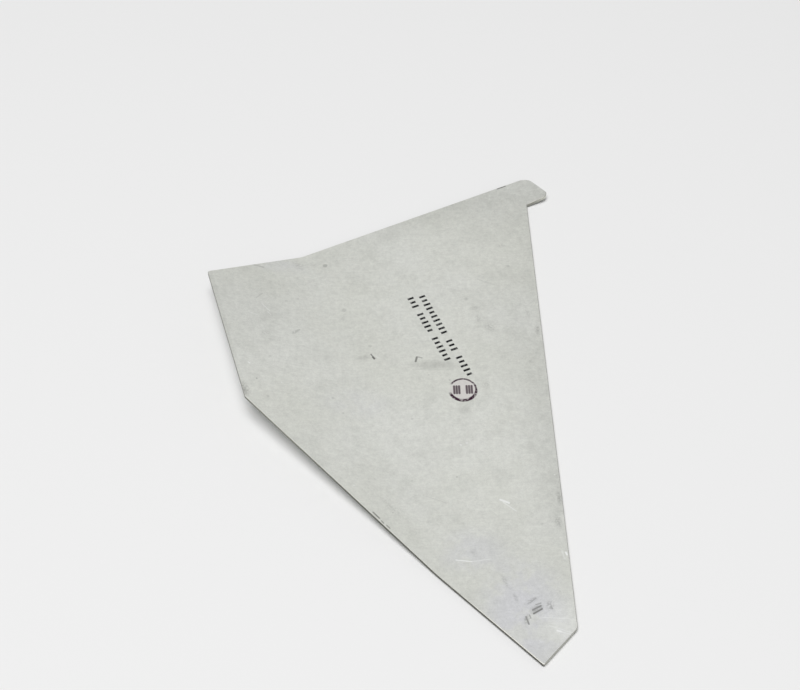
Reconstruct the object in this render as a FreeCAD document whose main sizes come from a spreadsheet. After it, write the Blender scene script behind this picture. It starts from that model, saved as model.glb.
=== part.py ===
import FreeCAD, Part
import math
import os
import Sketcher

# Flap fairing: one flat sheet-metal plate, folded and trimmed.
#
# The bottom of the flat panel is the plane Z = 0. The long straight edge runs along Y, and the sheet
# lies on its -X side. Plan sizes are ordinates from the datum corner, the near end of the long edge:
# "in" runs away from that edge (-X), "out" beyond it (+X), "up" along it (+Y) and "down" against it.
#
# Round the outline from the datum corner come the notch, tab toe, tab nose, wing nose, wing heel and
# tip. The upper edge is straight from the tab nose to the wing nose, and the lower edge from the wing
# heel to the tip. The wing is turned up along a bend that crosses the upper edge at the shoulder and
# the lower edge at the knee. The tab carries the upper edge past the long edge, turned up as well.

SIZES = [
    ("thickness", 1.6, "sheet thickness"),
    ("long_edge", 187.9, "long straight edge, datum corner to notch"),
    ("tab_root", 14.9, "tab nose, up from the notch"),
    ("tab_nose_out", 1.1, "tab nose, out from the long edge"),
    ("tab_reach", 9.4, "tab toe, out from the long edge"),
    ("tab_toe_up", 3.6, "tab toe, up from the notch"),
    ("nose_in", 123.7, "wing nose, in from the long edge"),
    ("nose_up", 147.3, "wing nose, up from the datum corner"),
    ("heel_in", 107.9, "wing heel, in from the long edge"),
    ("heel_up", 87.9, "wing heel, up from the datum corner"),
    ("tip_in", 12.0, "tip, in from the long edge"),
    ("tip_down", 12.5, "tip, down from the datum corner"),
    ("shoulder_in", 89.2, "shoulder, in from the long edge"),
    ("knee_in", 43.8, "knee, in from the long edge"),
    ("wing_angle", 15.5, "degrees that the wing is turned up"),
    ("wing_bend_radius", 10.0, "inside radius of the bend from shoulder to knee"),
    ("tab_angle", 11.0, "degrees that the tab is turned up"),
    ("tab_bend_radius", 4.0, "inside radius of the bend at the tab"),
    ("corner_radius", 1.2, "radius of the wing nose and the wing heel"),
    ("eased_radius", 2.2, "radius of the datum corner and the tab toe"),
    ("tab_nose_radius", 4.0, "radius of the tab nose"),
    ("tip_radius", 0.6, "radius of the tip"),
    ("notch_radius", 0.5, "radius in the notch"),
    ("edge_break", 0.2, "chamfer along both faces of the trimmed edge"),
]

# Each corner of the outline: its name, its plan ordinates and the size that rounds it.
CORNERS = [
    ("datum", "=0", "=0", "eased_radius"),
    ("notch", "=0", "=long_edge", "notch_radius"),
    ("tab_toe", "=tab_reach", "=long_edge + tab_toe_up", "eased_radius"),
    ("tab_nose", "=tab_nose_out", "=long_edge + tab_root", "tab_nose_radius"),
    ("wing_nose", "=-nose_in", "=nose_up", "corner_radius"),
    ("wing_heel", "=-heel_in", "=heel_up", "corner_radius"),
    ("tip", "=-tip_in", "=-tip_down", "tip_radius"),
]

# The bend is placed where the upper faces of panel and wing would meet, had they no radius there. Its
# ends lie on the upper and lower edges, so their ordinates "up" follow from the outline.
BEND = [
    ("upper_slope", "=(tab_nose_y - wing_nose_y) / (tab_nose_x - wing_nose_x)", "upper edge"),
    ("lower_slope", "=(wing_heel_y - tip_y) / (wing_heel_x - tip_x)", "lower edge"),
    ("shoulder_up", "=wing_nose_y + upper_slope * (nose_in - shoulder_in)", "shoulder, up"),
    ("knee_up", "=tip_y - lower_slope * (knee_in - tip_in)", "knee, up"),
    ("bend_slant", "=atan2(shoulder_in - knee_in; shoulder_up - knee_up)", "bend to long edge"),
    ("bend_lead", "=wing_bend_radius * tan(wing_angle / 2)", "start of the bend before that line"),
    ("bend_in", "=shoulder_in - bend_lead / cos(bend_slant)", "start of the bend, level with the shoulder"),
]

# The blank is larger than the outline all round, and the trimming tool is larger than the blank.
ALLOWANCES = [
    ("blank_run", "=long_edge + nose_in", "reach of the blank from its bend"),
    ("blank_width", "=2 * blank_run", "width of the blank along its bend"),
    ("tab_run", "=2 * tab_reach", "reach of the tab's blank from its bend"),
    ("trim_span", "=6 * blank_run", "side of the square that trims"),
]

ORIGIN = (-1, 1)
START, END, CENTRE = range(1, 4)
UPRIGHT = 0.01


def write_sizes(doc):
    """Put the sizes in a spreadsheet, one row each, with the name as the cell's alias."""
    sheet = doc.addObject("Spreadsheet::Sheet", "dims")
    rows = list(SIZES)
    for corner, across, along, _ in CORNERS:
        rows.append((corner + "_x", across, corner + " across the sheet"))
        rows.append((corner + "_y", along, corner + " along the sheet"))
    rows.extend(BEND + ALLOWANCES)
    for row, (alias, content, words) in enumerate(rows, start=1):
        sheet.set(f"A{row}", words)
        sheet.set(f"B{row}", str(content))
        sheet.setAlias(f"B{row}", alias)
    doc.recompute()
    return sheet


def vector(x, y):
    return FreeCAD.Vector(x, y, 0)


def new_sketch(body, name, plane_role):
    plane = next(item for item in body.Origin.OriginFeatures if item.Role == plane_role)
    sketch = body.newObject("Sketcher::SketchObject", name)
    sketch.AttachmentSupport = [(plane, "")]
    sketch.MapMode = "FlatFace"
    return sketch


def constrain(sketch, kind, *parts):
    return sketch.addConstraint(Sketcher.Constraint(kind, *parts))


def drive(sketch, name, expression, kind, *parts):
    """Add a dimension and bind it to the spreadsheet."""
    index = constrain(sketch, kind, *parts)
    sketch.renameConstraint(index, name)
    sketch.setExpression("Constraints." + name, expression)


def add_line(sketch, start, end):
    return sketch.addGeometry(Part.LineSegment(start, end), False)


def add_arc(sketch, centre, first, last):
    """Add an arc that runs anticlockwise from one point to another."""
    turn = [math.atan2((end - centre).y, (end - centre).x) for end in (first, last)]
    circle = Part.Circle(centre, FreeCAD.Vector(0, 0, 1), (first - centre).Length)
    return sketch.addGeometry(Part.ArcOfCircle(circle, *turn), False)


def draw_square(sketch, sheet, centred):
    """Draw the trimming tool's square, centred on the origin or standing on its right."""
    half = sheet.trim_span / 2
    left, right = (-half, half) if centred else (0, 2 * half)
    spots = [vector(left, -half), vector(right, -half), vector(right, half), vector(left, half)]
    base, far_side, top, near_side = [
        add_line(sketch, spots[index], spots[(index + 1) % 4]) for index in range(4)
    ]
    constrain(sketch, "Coincident", base, END, far_side, START)
    constrain(sketch, "Coincident", far_side, END, top, START)
    constrain(sketch, "Coincident", top, END, near_side, START)
    constrain(sketch, "Coincident", near_side, END, base, START)
    constrain(sketch, "Horizontal", base)
    constrain(sketch, "Horizontal", top)
    constrain(sketch, "Vertical", far_side)
    constrain(sketch, "Vertical", near_side)
    opposite = (top, START) if centred else (top, END)
    constrain(sketch, "Symmetric", base, START, *opposite, *ORIGIN)
    drive(sketch, "square_width", "dims.trim_span", "Distance", base, 2 * half)
    drive(sketch, "square_height", "dims.trim_span", "Distance", far_side, 2 * half)


def draw_section(sketch, sheet, angle_size, radius_size, run_size):
    """Draw the sheet's section: flat up to the origin, then a bend, then a straight flange."""
    thickness = sheet.thickness
    run = sheet.get(run_size)
    radius = sheet.get(radius_size)
    angle = math.radians(sheet.get(angle_size))
    outward = vector(math.cos(angle), math.sin(angle))
    inward = vector(-math.sin(angle), math.cos(angle))
    centre = vector(0, thickness + radius)
    under_bend = centre - inward * (thickness + radius)
    over_bend = centre - inward * radius

    under_flat = add_line(sketch, vector(-run, 0), vector(0, 0))
    under_arc = add_arc(sketch, centre, vector(0, 0), under_bend)
    under_flange = add_line(sketch, under_bend, under_bend + outward * run)
    flange_end = add_line(sketch, under_bend + outward * run, over_bend + outward * run)
    over_flange = add_line(sketch, over_bend + outward * run, over_bend)
    over_arc = add_arc(sketch, centre, vector(0, thickness), over_bend)
    over_flat = add_line(sketch, vector(0, thickness), vector(-run, thickness))
    flat_end = add_line(sketch, vector(-run, thickness), vector(-run, 0))

    constrain(sketch, "Coincident", under_flat, END, *ORIGIN)
    constrain(sketch, "Horizontal", under_flat)
    constrain(sketch, "Tangent", under_flat, END, under_arc, START)
    constrain(sketch, "Tangent", under_arc, END, under_flange, START)
    constrain(sketch, "Coincident", under_flange, END, flange_end, START)
    constrain(sketch, "Perpendicular", under_flange, flange_end)
    constrain(sketch, "Coincident", flange_end, END, over_flange, START)
    constrain(sketch, "Tangent", over_flange, END, over_arc, END)
    constrain(sketch, "Tangent", over_arc, START, over_flat, START)
    constrain(sketch, "Horizontal", over_flat)
    constrain(sketch, "Coincident", over_flat, END, flat_end, START)
    constrain(sketch, "Coincident", flat_end, END, under_flat, START)
    constrain(sketch, "Vertical", flat_end)
    constrain(sketch, "Coincident", under_arc, CENTRE, over_arc, CENTRE)
    constrain(sketch, "Equal", flat_end, flange_end)
    drive(sketch, "sheet", "dims.thickness", "Distance", flat_end, thickness)
    drive(sketch, "bend", "dims." + radius_size, "Radius", over_arc, radius)
    drive(sketch, "turn", f"dims.{angle_size} * 1 deg", "Angle", under_flange, angle)
    drive(sketch, "flat_run", "dims." + run_size, "Distance", under_flat, run)
    drive(sketch, "flange_run", "dims." + run_size, "Distance", under_flange, run)


def draw_outline(sketch, sheet):
    """Draw the trimmed edge: straight lines between the corners, and an arc at each corner."""
    places = [vector(sheet.get(name + "_x"), sheet.get(name + "_y")) for name, *_ in CORNERS]
    turns = []
    for index, (_, _, _, round_size) in enumerate(CORNERS):
        back = (places[index - 1] - places[index]).normalize()
        ahead = (places[(index + 1) % len(places)] - places[index]).normalize()
        half_angle = back.getAngle(ahead) / 2
        radius = sheet.get(round_size)
        reach = radius / math.tan(half_angle)
        centre = places[index] + (back + ahead).normalize() * (radius / math.sin(half_angle))
        turns.append((places[index] + back * reach, places[index] + ahead * reach, centre))
    lines = []
    for (_, leave, _), (enter, _, _) in zip(turns, turns[1:] + turns[:1]):
        lines.append(add_line(sketch, leave, enter))
    for index, (name, _, _, round_size) in enumerate(CORNERS):
        before, after = lines[index - 1], lines[index]
        round_corner(sketch, name, round_size, before, after, *turns[index])
        point = (sketch.addGeometry(Part.Point(places[index]), True), START)
        constrain(sketch, "PointOnObject", *point, before)
        constrain(sketch, "PointOnObject", *point, after)
        drive(sketch, name + "_x", f"dims.{name}_x", "DistanceX", *ORIGIN, *point, places[index].x)
        drive(sketch, name + "_y", f"dims.{name}_y", "DistanceY", *ORIGIN, *point, places[index].y)


def round_corner(sketch, name, round_size, before, after, enter, leave, centre):
    """Join two lines of the outline by a tangent arc, whichever way the corner turns."""
    if (enter - centre).cross(leave - centre).z > 0:
        arc = add_arc(sketch, centre, enter, leave)
        near_end, far_end = START, END
    else:
        arc = add_arc(sketch, centre, leave, enter)
        near_end, far_end = END, START
    constrain(sketch, "Tangent", before, END, arc, near_end)
    constrain(sketch, "Tangent", arc, far_end, after, START)
    radius = (enter - centre).Length
    drive(sketch, name + "_round", "dims." + round_size, "Radius", arc, radius)


def add_feature(body, kind, name, sketch, length):
    """Add a pad or a pocket that reaches equally to both sides of its sketch."""
    feature = body.newObject("PartDesign::" + kind, name)
    feature.Profile = sketch
    feature.SideType = "Symmetric"
    feature.setExpression("Length", "dims." + length)
    body.Document.recompute()
    return feature


def stand_on_wing_bend(sketch, sheet):
    """Turn the wing's section square to its bend, with the flange towards the wing."""
    sketch.MapReversed = True
    axis = FreeCAD.Vector(0, 1, 0)
    turn = FreeCAD.Rotation(axis, sheet.bend_slant.Value)
    sketch.AttachmentOffset = FreeCAD.Placement(FreeCAD.Vector(sheet.bend_in, 0, sheet.shoulder_up), turn)
    sketch.setExpression("AttachmentOffset.Base.x", "dims.bend_in")
    sketch.setExpression("AttachmentOffset.Base.z", "dims.shoulder_up")
    sketch.setExpression("AttachmentOffset.Rotation.Angle", "dims.bend_slant")


def is_upright(face):
    low_u, high_u, low_v, high_v = face.ParameterRange
    normal = face.normalAt((low_u + high_u) / 2, (low_v + high_v) / 2)
    return abs(normal.z) < UPRIGHT


def trimmed_edges(shape):
    """Name the edges where the trimmed side meets the sheet's upper and lower faces."""
    names = []
    for index, edge in enumerate(shape.Edges, start=1):
        sides = [face for face in shape.ancestorsOfType(edge, Part.Face) if is_upright(face)]
        if len(sides) == 1:
            names.append(f"Edge{index}")
    return names


def make_fairing_sheet(doc, sheet):
    body = doc.addObject("PartDesign::Body", "fairing_sheet")
    body.Label = "fairing_sheet"

    wing_section = new_sketch(body, "wing_section", "XZ_Plane")
    stand_on_wing_bend(wing_section, sheet)
    draw_section(wing_section, sheet, "wing_angle", "wing_bend_radius", "blank_run")
    add_feature(body, "Pad", "wing_blank", wing_section, "blank_width")

    beyond_long_edge = new_sketch(body, "beyond_long_edge", "XY_Plane")
    draw_square(beyond_long_edge, sheet, centred=False)
    add_feature(body, "Pocket", "long_edge_cut", beyond_long_edge, "trim_span")

    tab_section = new_sketch(body, "tab_section", "XZ_Plane")
    draw_section(tab_section, sheet, "tab_angle", "tab_bend_radius", "tab_run")
    add_feature(body, "Pad", "tab_blank", tab_section, "blank_width")

    trim = new_sketch(body, "trim", "XY_Plane")
    draw_square(trim, sheet, centred=True)
    draw_outline(trim, sheet)
    trimmed = add_feature(body, "Pocket", "trimmed_sheet", trim, "trim_span")

    chamfer = body.newObject("PartDesign::Chamfer", "broken_edge")
    chamfer.Base = (trimmed, trimmed_edges(trimmed.Shape))
    chamfer.setExpression("Size", "dims.edge_break")
    doc.recompute()
    return body


def centre_on_footprint(body):
    """Put the origin under the middle of the plate, at the level that it rests on."""
    box = body.Shape.BoundBox
    body.Placement.Base = FreeCAD.Vector(-box.Center.x, -box.Center.y, -box.ZMin)
    body.Document.recompute()


def check(doc, parts):
    for item in doc.Objects:
        if "Invalid" in item.State or "Error" in item.State:
            raise RuntimeError(f"{item.Name} failed: {item.State}")
    for part in parts:
        if part.Shape.isNull() or not part.Shape.isValid() or len(part.Shape.Solids) != 1:
            raise RuntimeError(part.Label + " is not one valid solid")


def main():
    doc = FreeCAD.newDocument("flap_fairing")
    sheet = write_sizes(doc)
    parts = [make_fairing_sheet(doc, sheet)]
    for part in parts:
        centre_on_footprint(part)
    check(doc, parts)
    os.makedirs("parts", exist_ok=True)
    for part in parts:
        part.Shape.exportStep(f"parts/{part.Label}.step")
        box = part.Shape.BoundBox
        print(part.Label, round(part.Shape.Volume, 1), [round(v, 2) for v in (box.XLength, box.YLength, box.ZLength)])


main()
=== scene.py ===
"""Looks of the flap fairing: one folded sheet of bare aluminium, with its haze, handling marks and ink,
and painted light and shade on its cut edge.

Lengths are metres and the frame is the part's own: the flat panel rests on Z = 0, the long straight
edge runs along Y, and the wing rises towards -X. Marks on the sheet are given in millimetres.
"""

import math

import bpy
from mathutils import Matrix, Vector


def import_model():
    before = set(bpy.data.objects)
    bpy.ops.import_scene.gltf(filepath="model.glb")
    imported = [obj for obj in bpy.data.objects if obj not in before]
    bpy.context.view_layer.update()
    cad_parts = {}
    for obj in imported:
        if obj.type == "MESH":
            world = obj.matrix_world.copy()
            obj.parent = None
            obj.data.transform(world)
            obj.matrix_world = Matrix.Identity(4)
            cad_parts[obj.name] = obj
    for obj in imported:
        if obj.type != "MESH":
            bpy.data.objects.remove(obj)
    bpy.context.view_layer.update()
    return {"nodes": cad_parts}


MM = 0.001

CAMERA_PLACE = (-0.0067, -0.3218, 0.4275)
CAMERA_AIM = (0.0049, 0.0242, 0.0)
CAMERA_HFOV = math.radians(30)

LAMP_HEIGHT = 2.2
LAMP_SIZE = 1.3
LAMP_PLACE = (-0.20, -0.42)
LAMP_POWER = 43.0
WORLD_LEVEL = 0.25
BACKGROUND = (0.80, 0.80, 0.80)

FLOOR_COLOUR = (0.845, 0.845, 0.845)
FLOOR_REACH = 1.6
FLOOR_GAP = 0.45 * MM
FADE_START = 0.5
FADE_END = 1.2

SHEET_COLOUR = (0.71, 0.72, 0.67)
HAZE_COLOUR = (0.74, 0.75, 0.71)
DULL_COLOUR = (0.64, 0.65, 0.61)
COOL_COLOUR = (0.71, 0.715, 0.73)
SHEET_METALLIC = 0.7
SHEET_ROUGHNESS = 0.5
SHEET_SPECULAR = 0.1
EDGE_METALLIC = 0.2

# Noise of the bare sheet: scale per millimetre, detail and roughness.
CLOUD = (0.022, 3.0, 0.55)
MOTTLE = (0.10, 3.0, 0.62)
GRAIN = (0.48, 4.0, 0.95)
DRAWN_LINES = (1.0, 3.0, 0.7)
DRAWN_TURN = 0.15
DRAWN_SCALE = (0.14, 1.5, 1.0)
GRAIN_CONTRAST = 0.55
LINE_CONTRAST = 0.10
PLAIN_LEVEL = 0.678

# Cut edge: darker than the faces because the sheared edge is rough, and partly painted shade.
DARK_CUT = (0.055, 0.055, 0.045)
# Painted light on the cut edge where it faces the long edge and, towards the front, near the heel.
PAINTED_LIGHT_CUT = (0.54, 0.54, 0.48)
# Painted light on the cut edge at the tab's toe.
PAINTED_LIGHT_TOE_CUT = (0.86, 0.87, 0.78)
# Painted highlight on the broken corners.
PAINTED_HIGHLIGHT = (0.98, 0.97, 0.90)
PLAIN_CORNER = (0.62, 0.63, 0.58)
# Painted shade on the broken corners that face the long edge or lie along the wing's outer edge.
SHADED_CORNER = (0.40, 0.40, 0.37)
GRIME_COLOUR = (0.16, 0.16, 0.15)
SCRATCH_COLOUR = (0.95, 0.96, 0.95)
INK_COLOUR = (0.016, 0.015, 0.018)
STAMP_COLOUR = (0.050, 0.018, 0.038)
STAMP_TINT = (0.74, 0.66, 0.68)

# Where light is painted on the cut edge and its corners: middle and half sizes.
# Painted highlight on the broken corners, strongest round the tip.
PAINTED_HIGHLIGHT_PLACE = ((44, -106), (46, 46))
# Painted light on the front-facing cut edge round the heel.
PAINTED_LIGHT_HEEL = ((-52, -4), (70, 70))
# Painted light on the cut edge at the tab's toe.
PAINTED_LIGHT_TOE = ((69, 99), (11, 11))

# Broad changes of tone: middle, half sizes, turn in degrees, and change of brightness at the middle.
SHADES = [
    ((54, 98), (50, 34), 0, -0.10),
    ((64, 104), (12, 12), 0, -0.045),
    ((49, 97), (15, 8), 12, -0.022),
    ((-14, 58), (24, 18), 0, -0.03),
    ((-4, 24), (22, 20), 0, -0.02),
    ((44, 38), (12, 40), 0, -0.035),
    ((60, 5), (20, 110), 0, -0.08),
    ((5, 92), (62, 24), 24, -0.08),
    ((-56, 42), (42, 44), 0, -0.07),
    ((14, 2), (40, 55), 17, 0.02),
    ((34, -36), (22, 30), 20, 0.03),
    ((55, -93), (12, 11), -45, 0.09),
]

# Cool-toned patches: middle, half sizes and strength.
COOL_PATCHES = [
    ((41, -90), (20, 30), 1.0),
    ((26, -66), (16, 12), 0.6),
    ((-12, -4), (16, 9), 0.35),
    ((-40, 61), (14, 6), 0.35),
]

# Dark spots: middle, diameter and strength.
SPOTS = [
    ((-22.6, 63.0), 1.6, 0.38),
    ((-15.5, 40.4), 1.5, 0.20),
    ((-6.2, 22.8), 1.2, 0.16),
    ((-30.5, 20.6), 1.1, 0.10),
    ((-42.1, 13.4), 0.9, 0.12),
    ((-42.3, -5.8), 0.9, 0.16),
    ((-19.8, -2.8), 1.0, 0.16),
    ((-37.0, 42.5), 1.1, 0.10),
    ((-32.7, 44.5), 0.9, 0.10),
    ((47.5, 60.5), 1.2, 0.16),
    ((30.3, 44.3), 1.4, 0.14),
    ((51.9, 13.8), 1.0, 0.12),
    ((7.9, -10.8), 0.9, 0.12),
    ((6.9, -37.0), 0.8, 0.12),
    ((-5.7, -37.2), 0.9, 0.12),
    ((49.7, -55.7), 1.0, 0.14),
]

# Smudges: middle, half sizes, turn in degrees, how far they are broken up, and strength.
SMUDGES = [
    ((-8.6, 17.4), (3.4, 1.7), 10, 0.2, 0.24),
    ((16.6, 13.2), (12.0, 2.9), -2, 0.2, 0.24),
    ((26.5, -7.5), (3.4, 2.4), 10, 0.3, 0.17),
    ((33.5, 39.8), (3.0, 1.2), 10, 0.6, 0.22),
    ((34.3, 34.6), (1.6, 2.8), 0, 0.8, 0.22),
    ((38.4, 29.9), (2.6, 3.6), 30, 0.8, 0.24),
    ((45.8, 71.3), (2.8, 1.6), 0, 0.8, 0.20),
    ((56.0, 28.3), (1.2, 3.6), 0, 0.6, 0.34),
    ((53.1, 36.7), (1.0, 3.6), 10, 0.8, 0.20),
    ((35.1, 3.4), (1.8, 3.4), 0, 0.8, 0.18),
    ((-43.8, 24.6), (2.4, 1.8), 0, 0.9, 0.22),
    ((-32.6, 62.8), (2.6, 3.8), 25, 0.9, 0.20),
    ((-50.6, -3.6), (2.4, 4.6), 20, 0.7, 0.50),
    ((56.6, -45.6), (1.3, 4.4), 4, 0.6, 0.36),
    ((55.4, -55.0), (1.6, 3.6), 12, 0.8, 0.30),
    ((-33.4, 27.3), (2.8, 1.0), 43, 0.8, 0.34),
    ((45.0, -87.6), (3.4, 1.9), 28, 0.6, 0.50),
    ((43.6, -84.6), (3.4, 1.1), 32, 0.8, 0.40),
    ((41.6, -91.3), (1.3, 2.7), -8, 0.8, 0.45),
    ((49.6, -86.4), (1.9, 2.6), 0, 0.95, 0.36),
    ((35.8, -77.2), (1.1, 4.6), 24, 0.7, 0.22),
    ((38.6, -83.2), (0.9, 2.6), 16, 0.6, 0.26),
    ((26.3, -66.0), (1.8, 1.2), 0, 0.5, 0.14),
    ((-0.4, -48.6), (9.5, 1.5), -46, 0.95, 0.16),
]

# Dark lines: start, end, width and strength.
DARK_LINES = [
    ((-5.9, 18.9), (-5.0, 17.4), 0.50, 0.75),
    ((-5.2, 17.6), (-4.7, 16.8), 0.75, 0.95),
    ((10.3, 15.0), (10.8, 17.0), 0.75, 0.78),
    ((10.9, 17.2), (12.6, 16.6), 0.50, 0.42),
    ((9.4, 11.4), (23.6, 11.0), 0.90, 0.10),
    ((-65.3, 51.6), (-50.9, -5.4), 2.4, 0.07),
    ((-50.5, -3.4), (-49.9, -5.6), 1.2, 0.34),
    ((-50.2, 59.6), (-45.8, 59.0), 0.6, 0.26),
    ((-33.2, 27.4), (-31.9, 28.7), 0.6, 0.30),
    ((-47.8, 42.2), (-45.6, 45.0), 0.5, 0.16),
    ((46.6, 102.1), (49.8, 103.5), 0.5, 0.75),
    ((43.8, -87.9), (46.5, -86.5), 0.65, 0.70),
    ((44.0, -89.2), (46.8, -87.6), 0.60, 0.80),
    ((45.0, -86.0), (46.6, -85.5), 0.45, 0.45),
    ((41.4, -90.3), (42.1, -92.9), 0.55, 0.65),
    ((42.6, -89.7), (42.9, -90.8), 0.45, 0.45),
    ((43.1, -85.3), (45.2, -83.6), 0.45, 0.40),
    ((49.8, -87.0), (50.1, -87.6), 0.60, 0.45),
    ((48.8, -85.6), (49.1, -86.2), 0.50, 0.30),
    ((-6.6, -51.4), (-4.6, -53.6), 0.5, 0.75),
    ((-3.9, -54.6), (-3.2, -55.5), 0.4, 0.60),
    ((-2.2, -56.2), (-1.2, -57.3), 0.4, 0.55),
    ((11.4, -43.3), (18.1, -46.3), 0.4, 0.10),
    ((35.2, 54.2), (41.8, 51.0), 0.4, 0.10),
]

# Bright scratches: start, end, width and strength.
SCRATCHES = [
    ((36.6, -45.6), (39.4, -47.0), 0.75, 0.80),
    ((37.4, -46.6), (41.6, -50.3), 0.40, 0.45),
    ((20.2, -68.6), (25.4, -69.4), 0.40, 0.75),
    ((25.4, -69.4), (31.7, -68.6), 0.35, 0.35),
    ((56.6, -66.9), (56.9, -67.8), 0.60, 0.95),
    ((51.0, -95.5), (52.0, -95.9), 0.65, 0.90),
    ((46.5, -90.6), (56.5, -91.6), 0.35, 0.30),
    ((48.5, -93.6), (57.0, -97.0), 0.35, 0.30),
    ((51.5, -95.8), (55.5, -97.2), 0.40, 0.40),
    ((55.4, -66.4), (56.0, -69.4), 0.60, 0.30),
    ((-48.6, -8.9), (-43.5, -14.2), 0.45, 0.60),
    ((-49.9, 34.1), (-47.2, 33.4), 0.40, 0.30),
    ((-45.7, 39.4), (-42.9, 36.3), 0.40, 0.32),
    ((-43.6, 35.6), (-42.4, 34.4), 0.40, 0.28),
    ((24.3, -22.4), (24.7, -22.6), 0.50, 0.55),
    ((26.5, -21.8), (26.9, -21.8), 0.50, 0.55),
    ((-49.5, 9.1), (-49.0, 8.7), 0.50, 0.60),
    ((-4.0, 17.9), (-3.4, 17.2), 0.35, 0.35),
]

# Rows of short printed strokes: start of the row and number of strokes.
PRINT_PITCH = 2.12
PRINT_HEIGHT = 2.5
PRINT_TURN = math.radians(-67.4)
PRINT_ROWS = [
    ((13.6, 47.0), 10),
    ((22.6, 25.2), 3),
    ((25.8, 17.4), 5),
    ((9.2, 46.2), 3),
    ((12.5, 38.3), 5),
    ((17.4, 26.5), 6),
]
STAMP_PLACE = (26.7, 1.6)
STAMP_RADIUS = 4.8
STAMP_BARS = (-3.1, -2.2, -1.3, 1.4, 2.3, 3.2)
STAMP_BAR_REACH = 1.6
STAMP_BAR_WIDTH = 0.8


class Tree:
    """A node tree that is built by short calls."""

    def __init__(self, tree):
        self.tree = tree

    def add(self, kind, inputs=None, **settings):
        """Add a node. Inputs are numbers, tuples or other nodes' outputs, by name or by place."""
        node = self.tree.nodes.new(kind)
        for name, value in settings.items():
            setattr(node, name, value)
        for name, value in (inputs or {}).items():
            self.set(node.inputs[name], value)
        return node

    def set(self, socket, value):
        """Link another node's output to a socket, or give the socket a number, vector or colour."""
        if isinstance(value, bpy.types.NodeSocket):
            self.tree.links.new(value, socket)
        elif hasattr(value, "__len__") and len(value) == 3 and len(socket.default_value) == 4:
            socket.default_value = (*value, 1.0)
        else:
            socket.default_value = value

    def math(self, operation, *values):
        return self.add("ShaderNodeMath", dict(enumerate(values)), operation=operation).outputs[0]

    def vector(self, operation, first, second=(0.0, 0.0, 0.0)):
        """A vector sum, difference or product, or the number that the operation gives."""
        node = self.add("ShaderNodeVectorMath", {0: first, 1: second}, operation=operation)
        return node.outputs["Value" if operation in ("DOT_PRODUCT", "LENGTH") else "Vector"]

    def scale(self, vector, factor):
        node = self.add("ShaderNodeVectorMath", {0: vector}, operation="SCALE")
        self.set(node.inputs["Scale"], factor)
        return node.outputs["Vector"]

    def ramp(self, value, low, high, start=0.0, end=1.0):
        """Value's smoothed place between low and high, taken to start and end, and held beyond them."""
        inputs = {"Value": value, "From Min": low, "From Max": high, "To Min": start, "To Max": end}
        return self.add("ShaderNodeMapRange", inputs, interpolation_type="SMOOTHSTEP").outputs[0]

    def line(self, value, low, high, start, end):
        """The straight line that takes low to start and high to end."""
        inputs = {"Value": value, "From Min": low, "From Max": high, "To Min": start, "To Max": end}
        return self.add("ShaderNodeMapRange", inputs, clamp=False).outputs[0]

    def mix(self, amount, first, second):
        """Mix two colours."""
        node = self.add("ShaderNodeMix", data_type="RGBA")
        self.set(node.inputs["Factor"], amount)
        self.set(node.inputs[6], first)
        self.set(node.inputs[7], second)
        return node.outputs[2]

    def noise(self, vector, scale, detail=2.0, roughness=0.5):
        inputs = {"Vector": vector, "Scale": scale, "Detail": detail, "Roughness": roughness}
        return self.add("ShaderNodeTexNoise", inputs).outputs[0]

    def group(self, group, inputs):
        node = self.add("ShaderNodeGroup", node_tree=group)
        for name, value in inputs.items():
            self.set(node.inputs[name], value)
        return node


def new_group(name, inputs, outputs):
    """Start a node group with named sockets. Returns its tree, its inputs and its output node."""
    group = bpy.data.node_groups.new(name, "ShaderNodeTree")
    for label, kind in inputs:
        group.interface.new_socket(label, in_out="INPUT", socket_type="NodeSocket" + kind)
    for label, kind in outputs:
        group.interface.new_socket(label, in_out="OUTPUT", socket_type="NodeSocket" + kind)
    tree = Tree(group)
    return tree, tree.add("NodeGroupInput").outputs, tree.add("NodeGroupOutput")


def stroke_group():
    """A soft-edged line between two points, as a mask."""
    sockets = [("Vector", "Vector"), ("Start", "Vector"), ("End", "Vector"), ("Width", "Float")]
    tree, given, result = new_group("stroke", sockets, [("Mask", "Float")])
    from_start = tree.vector("SUBTRACT", given["Vector"], given["Start"])
    run = tree.vector("SUBTRACT", given["End"], given["Start"])
    along = tree.vector("DOT_PRODUCT", from_start, run)
    share = tree.math("DIVIDE", along, tree.vector("DOT_PRODUCT", run, run))
    share = tree.math("MINIMUM", tree.math("MAXIMUM", share, 0.0), 1.0)
    gap = tree.vector("LENGTH", tree.vector("SUBTRACT", from_start, tree.scale(run, share)))
    inner = tree.math("MULTIPLY", given["Width"], 0.3)
    outer = tree.math("MULTIPLY", given["Width"], 0.7)
    tree.set(result.inputs["Mask"], tree.ramp(gap, inner, outer, 1.0, 0.0))
    return tree.tree


def smudge_group():
    """A worn or dirty patch that noise breaks up, densest at its middle, as a mask."""
    sockets = [("Vector", "Vector"), ("Centre", "Vector"), ("Size", "Vector")]
    sockets += [("Turn", "Float"), ("Break", "Float")]
    tree, given, result = new_group("smudge", sockets, [("Mask", "Float")])
    offset = tree.vector("SUBTRACT", given["Vector"], given["Centre"])
    turned = tree.add("ShaderNodeVectorRotate", {"Vector": offset}, rotation_type="Z_AXIS")
    tree.set(turned.inputs["Angle"], tree.math("MULTIPLY", given["Turn"], -1.0))
    gap = tree.vector("LENGTH", tree.vector("DIVIDE", turned.outputs[0], given["Size"]))
    patch = tree.ramp(gap, 0.2, 1.0, 1.0, 0.0)
    grain = tree.ramp(tree.noise(given["Vector"], 1.3, 3.0, 0.6), 0.42, 0.60)
    whole = tree.math("SUBTRACT", 1.0, given["Break"])
    kept = tree.math("MULTIPLY_ADD", grain, given["Break"], whole)
    tree.set(result.inputs["Mask"], tree.math("MULTIPLY", patch, kept))
    return tree.tree


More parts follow.
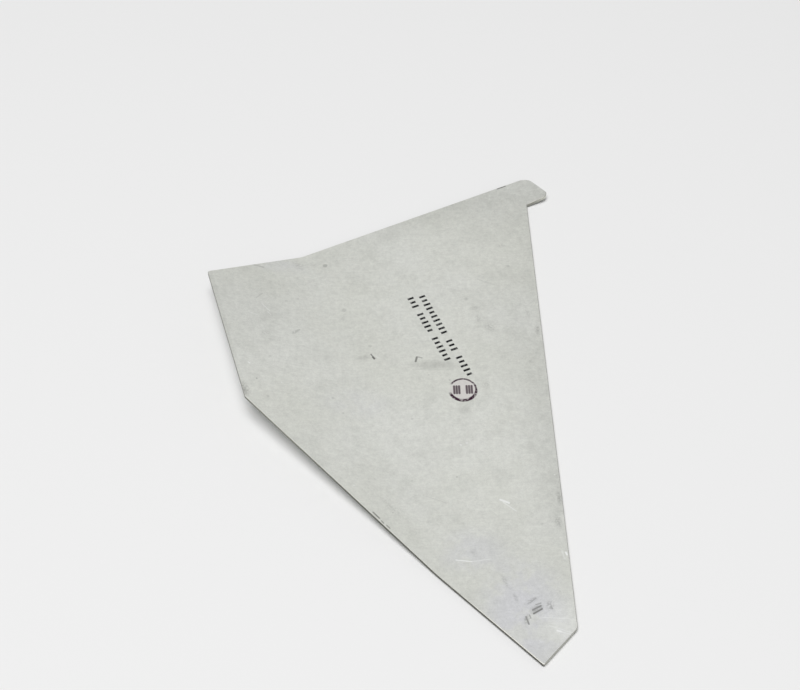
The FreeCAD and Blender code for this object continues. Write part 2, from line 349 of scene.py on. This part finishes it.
def print_group():
    """A row of short upright strokes at an even pitch, unevenly inked, as a mask."""
    sockets = [("Vector", "Vector"), ("Start", "Vector"), ("Count", "Float")]
    tree, given, result = new_group("printed_strokes", sockets, [("Mask", "Float")])
    offset = tree.vector("SUBTRACT", given["Vector"], given["Start"])
    turned = tree.add("ShaderNodeVectorRotate", {"Vector": offset}, rotation_type="Z_AXIS")
    turned.inputs["Angle"].default_value = -PRINT_TURN
    place = tree.add("ShaderNodeSeparateXYZ", {0: turned.outputs[0]}).outputs
    step = tree.math("DIVIDE", place["X"], PRINT_PITCH)
    across = tree.math("ABSOLUTE", tree.math("SUBTRACT", tree.math("FRACT", step), 0.5))
    number = tree.math("FLOOR", step)
    chance = tree.add("ShaderNodeTexWhiteNoise", {"W": number}, noise_dimensions="1D").outputs["Value"]
    reach = tree.line(chance, 0.0, 1.0, PRINT_HEIGHT * 0.40, PRINT_HEIGHT * 0.55)
    gap = tree.math("SUBTRACT", tree.math("ABSOLUTE", place["Y"]), reach)
    stroke = tree.ramp(across, 0.18, 0.26, 1.0, 0.0)
    height = tree.ramp(gap, -0.10, 0.10, 1.0, 0.0)
    after_start = tree.math("GREATER_THAN", step, 0.0)
    before_end = tree.math("LESS_THAN", step, given["Count"])
    worn = tree.ramp(tree.noise(given["Vector"], 1.1, 2.0, 0.5), 0.32, 0.52, 0.75, 1.0)
    mask = tree.math("MULTIPLY", stroke, height)
    mask = tree.math("MULTIPLY", mask, tree.math("MULTIPLY", after_start, before_end))
    tree.set(result.inputs["Mask"], tree.math("MULTIPLY", mask, worn))
    return tree.tree


def ring_group():
    """A hand-stamped ring, open on its left and unevenly inked, with the faint disc inside it."""
    sockets = [("Vector", "Vector"), ("Centre", "Vector"), ("Radius", "Float")]
    tree, given, result = new_group("stamped_ring", sockets, [("Ring", "Float"), ("Disc", "Float")])
    offset = tree.vector("SUBTRACT", given["Vector"], given["Centre"])
    gap = tree.math("SUBTRACT", tree.vector("LENGTH", offset), given["Radius"])
    place = tree.add("ShaderNodeSeparateXYZ", {0: offset}).outputs
    heavy = tree.ramp(place["Y"], 1.5, -3.8)
    outer = tree.math("MULTIPLY_ADD", heavy, 0.32, 0.50)
    inner = tree.math("MULTIPLY_ADD", heavy, 0.22, 0.16)
    line = tree.ramp(tree.math("ABSOLUTE", gap), inner, outer, 1.0, 0.0)
    bearing = tree.math("ARCTAN2", place["Y"], tree.math("MULTIPLY", place["X"], -1.0))
    opening = tree.ramp(tree.math("ABSOLUTE", tree.math("SUBTRACT", bearing, 0.15)), 0.30, 0.62)
    worn = tree.ramp(tree.noise(given["Vector"], 0.8, 2.0, 0.5), 0.30, 0.55, 0.35, 1.0)
    line = tree.math("MULTIPLY", line, tree.math("MULTIPLY", opening, worn))
    tree.set(result.inputs["Ring"], line)
    tree.set(result.inputs["Disc"], tree.ramp(gap, -0.6, 0.6, 1.0, 0.0))
    return tree.tree


def finish_group():
    """Haze, mottling, grain and fine drawn lines as values round one half, with specks and flecks."""
    names = ("Cloud", "Mottle", "Grain", "Line", "Speck", "Fleck")
    results = [(name, "Float") for name in names]
    tree, given, result = new_group("sheet_finish", [("Vector", "Vector")], results)
    where = given["Vector"]
    tree.set(result.inputs["Cloud"], tree.noise(where, *CLOUD))
    tree.set(result.inputs["Mottle"], tree.noise(where, *MOTTLE))
    tree.set(result.inputs["Grain"], tree.noise(where, *GRAIN))
    stretch = {"Vector": where, "Rotation": (0, 0, DRAWN_TURN), "Scale": DRAWN_SCALE}
    drawn = tree.add("ShaderNodeMapping", stretch)
    tree.set(result.inputs["Line"], tree.noise(drawn.outputs[0], *DRAWN_LINES))
    for name, scale, kept in (("Speck", 0.13, 0.78), ("Fleck", 0.16, 0.86)):
        cells = tree.add("ShaderNodeTexVoronoi", {"Vector": where, "Scale": scale}).outputs
        chance = tree.add("ShaderNodeSeparateColor", {0: cells["Color"]}).outputs
        reach = tree.line(chance["Green"], 0.0, 1.0, 0.04, 0.10)
        dot = tree.ramp(cells["Distance"], tree.math("MULTIPLY", reach, 0.4), reach, 1.0, 0.0)
        chosen = tree.ramp(chance["Red"], kept, 1.0)
        tree.set(result.inputs[name], tree.math("MULTIPLY", dot, chosen))
    return tree.tree


def at(place):
    """A place on the sheet as a vector."""
    return (*place, 0.0)


def paint(tree, colour, mask, strength, ink):
    """Lay an ink over a colour where the mask shows."""
    return tree.mix(tree.math("MULTIPLY", mask, strength), colour, ink)


def smudge(tree, group, flat, centre, size, turn=0, broken=0.0):
    """The mask of one smudge."""
    inputs = {"Vector": flat, "Centre": at(centre), "Size": (*size, 1.0)}
    inputs.update({"Turn": math.radians(turn), "Break": broken})
    return tree.group(group, inputs).outputs["Mask"]


def bare_colour(tree, flat, smudges):
    """The bare sheet: mottled, with broad changes of tone, cool patches, specks and flecks."""
    finish = tree.group(finish_group(), {"Vector": flat}).outputs
    colour = tree.mix(tree.ramp(finish["Cloud"], 0.35, 0.65), SHEET_COLOUR, HAZE_COLOUR)
    colour = paint(tree, colour, tree.ramp(finish["Mottle"], 0.45, 0.75), 0.5, DULL_COLOUR)
    for centre, size, strength in COOL_PATCHES:
        patch = smudge(tree, smudges, flat, centre, size)
        cloudy = tree.math("MULTIPLY", patch, tree.ramp(finish["Mottle"], 0.38, 0.55, 0.35, 1.0))
        colour = paint(tree, colour, cloudy, strength, COOL_COLOUR)
    level = tree.math("ADD", tree.math("MULTIPLY", finish["Grain"], GRAIN_CONTRAST), PLAIN_LEVEL)
    level = tree.math("MULTIPLY_ADD", finish["Line"], LINE_CONTRAST, level)
    for centre, size, turn, change in SHADES:
        shade = smudge(tree, smudges, flat, centre, size, turn)
        level = tree.math("MULTIPLY_ADD", shade, change, level)
    colour = tree.scale(colour, level)
    colour = paint(tree, colour, tree.ramp(finish["Line"], 0.33, 0.25), 0.12, GRIME_COLOUR)
    colour = paint(tree, colour, tree.ramp(finish["Line"], 0.67, 0.76), 0.25, SCRATCH_COLOUR)
    colour = paint(tree, colour, finish["Speck"], 0.45, GRIME_COLOUR)
    colour = paint(tree, colour, finish["Fleck"], 0.6, SCRATCH_COLOUR)
    return colour, finish


def add_mark(tree, marks, mask, strength):
    """Add one mark to those of its colour. Where marks overlap, the stronger one shows."""
    return tree.math("MAXIMUM", marks, tree.math("MULTIPLY", mask, strength))


def stroke(tree, group, flat, start, end, width):
    """The mask of one stroke."""
    inputs = {"Vector": flat, "Start": at(start), "End": at(end), "Width": width}
    return tree.group(group, inputs).outputs["Mask"]


def marked_colour(tree, flat, colour, smudges, strokes):
    """Handling marks on the upper face: spots, smudges, dark lines and bright scratches."""
    grime = 0.0
    for centre, size, strength in SPOTS:
        beside = (centre[0] + 0.1, centre[1])
        grime = add_mark(tree, grime, stroke(tree, strokes, flat, centre, beside, size), strength)
    for centre, size, turn, broken, strength in SMUDGES:
        grime = add_mark(tree, grime, smudge(tree, smudges, flat, centre, size, turn, broken), strength)
    for start, end, width, strength in DARK_LINES:
        grime = add_mark(tree, grime, stroke(tree, strokes, flat, start, end, width), strength)
    scratches = 0.0
    for start, end, width, strength in SCRATCHES:
        scratches = add_mark(tree, scratches, stroke(tree, strokes, flat, start, end, width), strength)
    return tree.mix(scratches, tree.mix(grime, colour, GRIME_COLOUR), SCRATCH_COLOUR)


def printed_colour(tree, flat, colour, strokes):
    """Rows of plain ink strokes and a plain stamped ring with two pairs of bars in it."""
    rows = print_group()
    ink = 0.0
    for start, count in PRINT_ROWS:
        row = tree.group(rows, {"Vector": flat, "Start": at(start), "Count": float(count)})
        ink = add_mark(tree, ink, row.outputs["Mask"], 1.0)
    inputs = {"Vector": flat, "Centre": at(STAMP_PLACE), "Radius": STAMP_RADIUS}
    ring = tree.group(ring_group(), inputs).outputs
    stamp = ring["Ring"]
    for across in STAMP_BARS:
        low = (STAMP_PLACE[0] + across, STAMP_PLACE[1] - STAMP_BAR_REACH)
        high = (STAMP_PLACE[0] + across, STAMP_PLACE[1] + STAMP_BAR_REACH)
        stamp = add_mark(tree, stamp, stroke(tree, strokes, flat, low, high, STAMP_BAR_WIDTH), 0.85)
    colour = paint(tree, colour, ring["Disc"], 0.35, STAMP_TINT)
    colour = tree.mix(stamp, colour, STAMP_COLOUR)
    return tree.mix(ink, colour, INK_COLOUR)


def edge_masks(tree):
    """From the face's own direction: what faces up, the broken corners, and the cut edge below them.

    The side of the cut edge that faces the long edge is where light is painted on. Shaded are the corners
    there and along the wing's outer edge, where shade is painted on. Front is what faces the tip.
    """
    normal = tree.add("ShaderNodeNewGeometry").outputs["True Normal"]
    facing = tree.add("ShaderNodeSeparateXYZ", {0: normal}).outputs
    corner = tree.ramp(tree.math("ABSOLUTE", facing["Z"]), 0.86, 0.80)
    cut = tree.math("MULTIPLY", tree.ramp(facing["Z"], 0.55, 0.40), corner)
    upward = tree.ramp(facing["Z"], 0.5, 0.6)
    # Painted light: the cut edge is paler where it faces the long edge.
    pale = tree.ramp(facing["X"], -0.2, 0.7)
    front = tree.ramp(facing["Y"], -0.35, -0.55)
    # Painted shade: the corners that face the long edge and those along the wing's outer edge are darker.
    wing = tree.ramp(facing["X"], -0.35, -0.6)
    outer = tree.math("MULTIPLY", wing, tree.math("SUBTRACT", 1.0, front))
    shaded = tree.math("MAXIMUM", tree.ramp(facing["X"], 0.05, 0.45), outer)
    return upward, corner, cut, pale, shaded, front


def edged_colour(tree, flat, smudges, bare, marked):
    """Marks on what faces up, plain sheet below, and the cut edge and its broken corners with their
    painted light, highlight and shade.

    Returns the colour with the masks of the corners and of the cut edge.
    """
    upward, corner, cut, pale, shaded, front = edge_masks(tree)
    colour = tree.mix(upward, bare, marked)
    # Painted highlight on the broken corners, strongest near the tip, with painted shade on the shaded
    # corners.
    bright = tree.math("MAXIMUM", smudge(tree, smudges, flat, *PAINTED_HIGHLIGHT_PLACE), 0.15)
    lit_corner = tree.mix(bright, PLAIN_CORNER, PAINTED_HIGHLIGHT)
    colour = tree.mix(corner, colour, tree.mix(shaded, lit_corner, SHADED_CORNER))
    # Painted light on the front-facing cut edge near the heel, joined to the painted light on the side
    # that faces the long edge.
    heel = tree.math("MULTIPLY_ADD", smudge(tree, smudges, flat, *PAINTED_LIGHT_HEEL), 0.32, 0.19)
    pale = tree.math("MAXIMUM", pale, tree.math("MULTIPLY", heel, front))
    # Painted light on the cut edge at the tab's toe; elsewhere the cut edge is dark, partly painted
    # shade.
    toe = smudge(tree, smudges, flat, *PAINTED_LIGHT_TOE)
    cut_colour = tree.mix(toe, tree.mix(pale, DARK_CUT, PAINTED_LIGHT_CUT), PAINTED_LIGHT_TOE_CUT)
    return tree.mix(cut, colour, cut_colour), corner, cut


def make_sheet_material():
    """Bare aluminium: mostly metal on its faces, dull on its cut edge."""
    material = bpy.data.materials.new("bare_aluminium_sheet")
    material.use_nodes = True
    tree = Tree(material.node_tree)
    shader = material.node_tree.nodes["Principled BSDF"]
    shader.inputs["Specular IOR Level"].default_value = SHEET_SPECULAR
    place = tree.add("ShaderNodeTexCoord").outputs["Object"]
    flat = tree.vector("MULTIPLY", place, (1.0 / MM, 1.0 / MM, 0.0))
    smudges, strokes = smudge_group(), stroke_group()

    bare, finish = bare_colour(tree, flat, smudges)
    marked = marked_colour(tree, flat, bare, smudges, strokes)
    marked = printed_colour(tree, flat, marked, strokes)
    colour, corner, cut = edged_colour(tree, flat, smudges, bare, marked)

    tree.set(shader.inputs["Base Color"], colour)
    smooth = tree.math("SUBTRACT", 1.0, cut)
    metal = tree.math("MULTIPLY", tree.ramp(corner, 0.0, 1.0, SHEET_METALLIC, EDGE_METALLIC), smooth)
    tree.set(shader.inputs["Metallic"], metal)
    rough = tree.ramp(finish["Mottle"], 0.3, 0.7, SHEET_ROUGHNESS - 0.05, SHEET_ROUGHNESS + 0.05)
    tree.set(shader.inputs["Roughness"], rough)
    bump = tree.add("ShaderNodeBump", {"Height": finish["Grain"], "Strength": 0.12, "Distance": 0.00003})
    tree.set(shader.inputs["Normal"], bump.outputs[0])
    return material


def dress_sheet(frame):
    """The sheet keeps its solid's shape and takes the finish."""
    sheet = frame["nodes"]["fairing_sheet"]
    sheet.data.materials.clear()
    sheet.data.materials.append(make_sheet_material())


def backdrop_rays(tree):
    """The rays that should meet the backdrop colour: what the camera sees and what the metal reflects."""
    ray = tree.add("ShaderNodeLightPath").outputs
    return tree.math("MAXIMUM", ray["Is Camera Ray"], ray["Is Glossy Ray"])


def make_floor_material():
    """Pale paper. Far from the sheet it fades into the backdrop colour, so that no horizon shows."""
    material = bpy.data.materials.new("floor_paper")
    material.use_nodes = True
    tree = Tree(material.node_tree)
    shader = material.node_tree.nodes["Principled BSDF"]
    shader.inputs["Base Color"].default_value = (*FLOOR_COLOUR, 1.0)
    shader.inputs["Roughness"].default_value = 0.9
    shader.inputs["Specular IOR Level"].default_value = 0.1
    reach = tree.vector("LENGTH", tree.add("ShaderNodeTexCoord").outputs["Object"])
    far = tree.math("MULTIPLY", tree.ramp(reach, FADE_START, FADE_END), backdrop_rays(tree))
    glow = tree.add("ShaderNodeEmission", {"Color": BACKGROUND})
    blend = tree.add("ShaderNodeMixShader", {0: far, 1: shader.outputs[0], 2: glow.outputs[0]})
    tree.set(material.node_tree.nodes["Material Output"].inputs["Surface"], blend.outputs[0])
    return material


def make_floor():
    """A level sheet of paper just below the part."""
    mesh = bpy.data.meshes.new("floor")
    reach = FLOOR_REACH
    corners = [(-reach, -reach), (reach, -reach), (reach, reach), (-reach, reach)]
    mesh.from_pydata([(x, y, -FLOOR_GAP) for x, y in corners], [], [(0, 1, 2, 3)])
    floor = bpy.data.objects.new("floor", mesh)
    bpy.context.scene.collection.objects.link(floor)
    mesh.materials.append(make_floor_material())


def make_world():
    """Even light from all round. The camera and the metal see the pale backdrop colour instead."""
    world = bpy.data.worlds.new("studio")
    world.use_nodes = True
    bpy.context.scene.world = world
    tree = Tree(world.node_tree)
    background = world.node_tree.nodes["Background"]
    tree.set(background.inputs["Color"], tree.mix(backdrop_rays(tree), (WORLD_LEVEL,) * 3, BACKGROUND))
    background.inputs["Strength"].default_value = 1.0


def make_lamp():
    """One large softbox above, a little to the left and to the front."""
    light = bpy.data.lights.new("softbox", "AREA")
    light.shape = "SQUARE"
    light.size = LAMP_SIZE
    light.energy = LAMP_POWER
    lamp = bpy.data.objects.new("softbox", light)
    lamp.location = (*LAMP_PLACE, LAMP_HEIGHT)
    aim = Vector((0, 0, 0)) - lamp.location
    lamp.rotation_euler = aim.to_track_quat("-Z", "Y").to_euler()
    lamp.visible_glossy = False
    bpy.context.scene.collection.objects.link(lamp)


def make_camera():
    """The photo's viewpoint."""
    data = bpy.data.cameras.new("camera")
    data.sensor_width = 36.0
    data.lens = data.sensor_width / 2 / math.tan(CAMERA_HFOV / 2)
    data.clip_start = 0.01
    data.clip_end = 20.0
    camera = bpy.data.objects.new("camera", data)
    camera.location = CAMERA_PLACE
    aim = Vector(CAMERA_AIM) - camera.location
    camera.rotation_euler = aim.to_track_quat("-Z", "Y").to_euler()
    bpy.context.scene.collection.objects.link(camera)
    bpy.context.scene.camera = camera


def main():
    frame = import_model()
    bpy.context.scene.view_settings.view_transform = "Standard"
    make_camera()
    make_world()
    make_lamp()
    make_floor()
    dress_sheet(frame)


main()
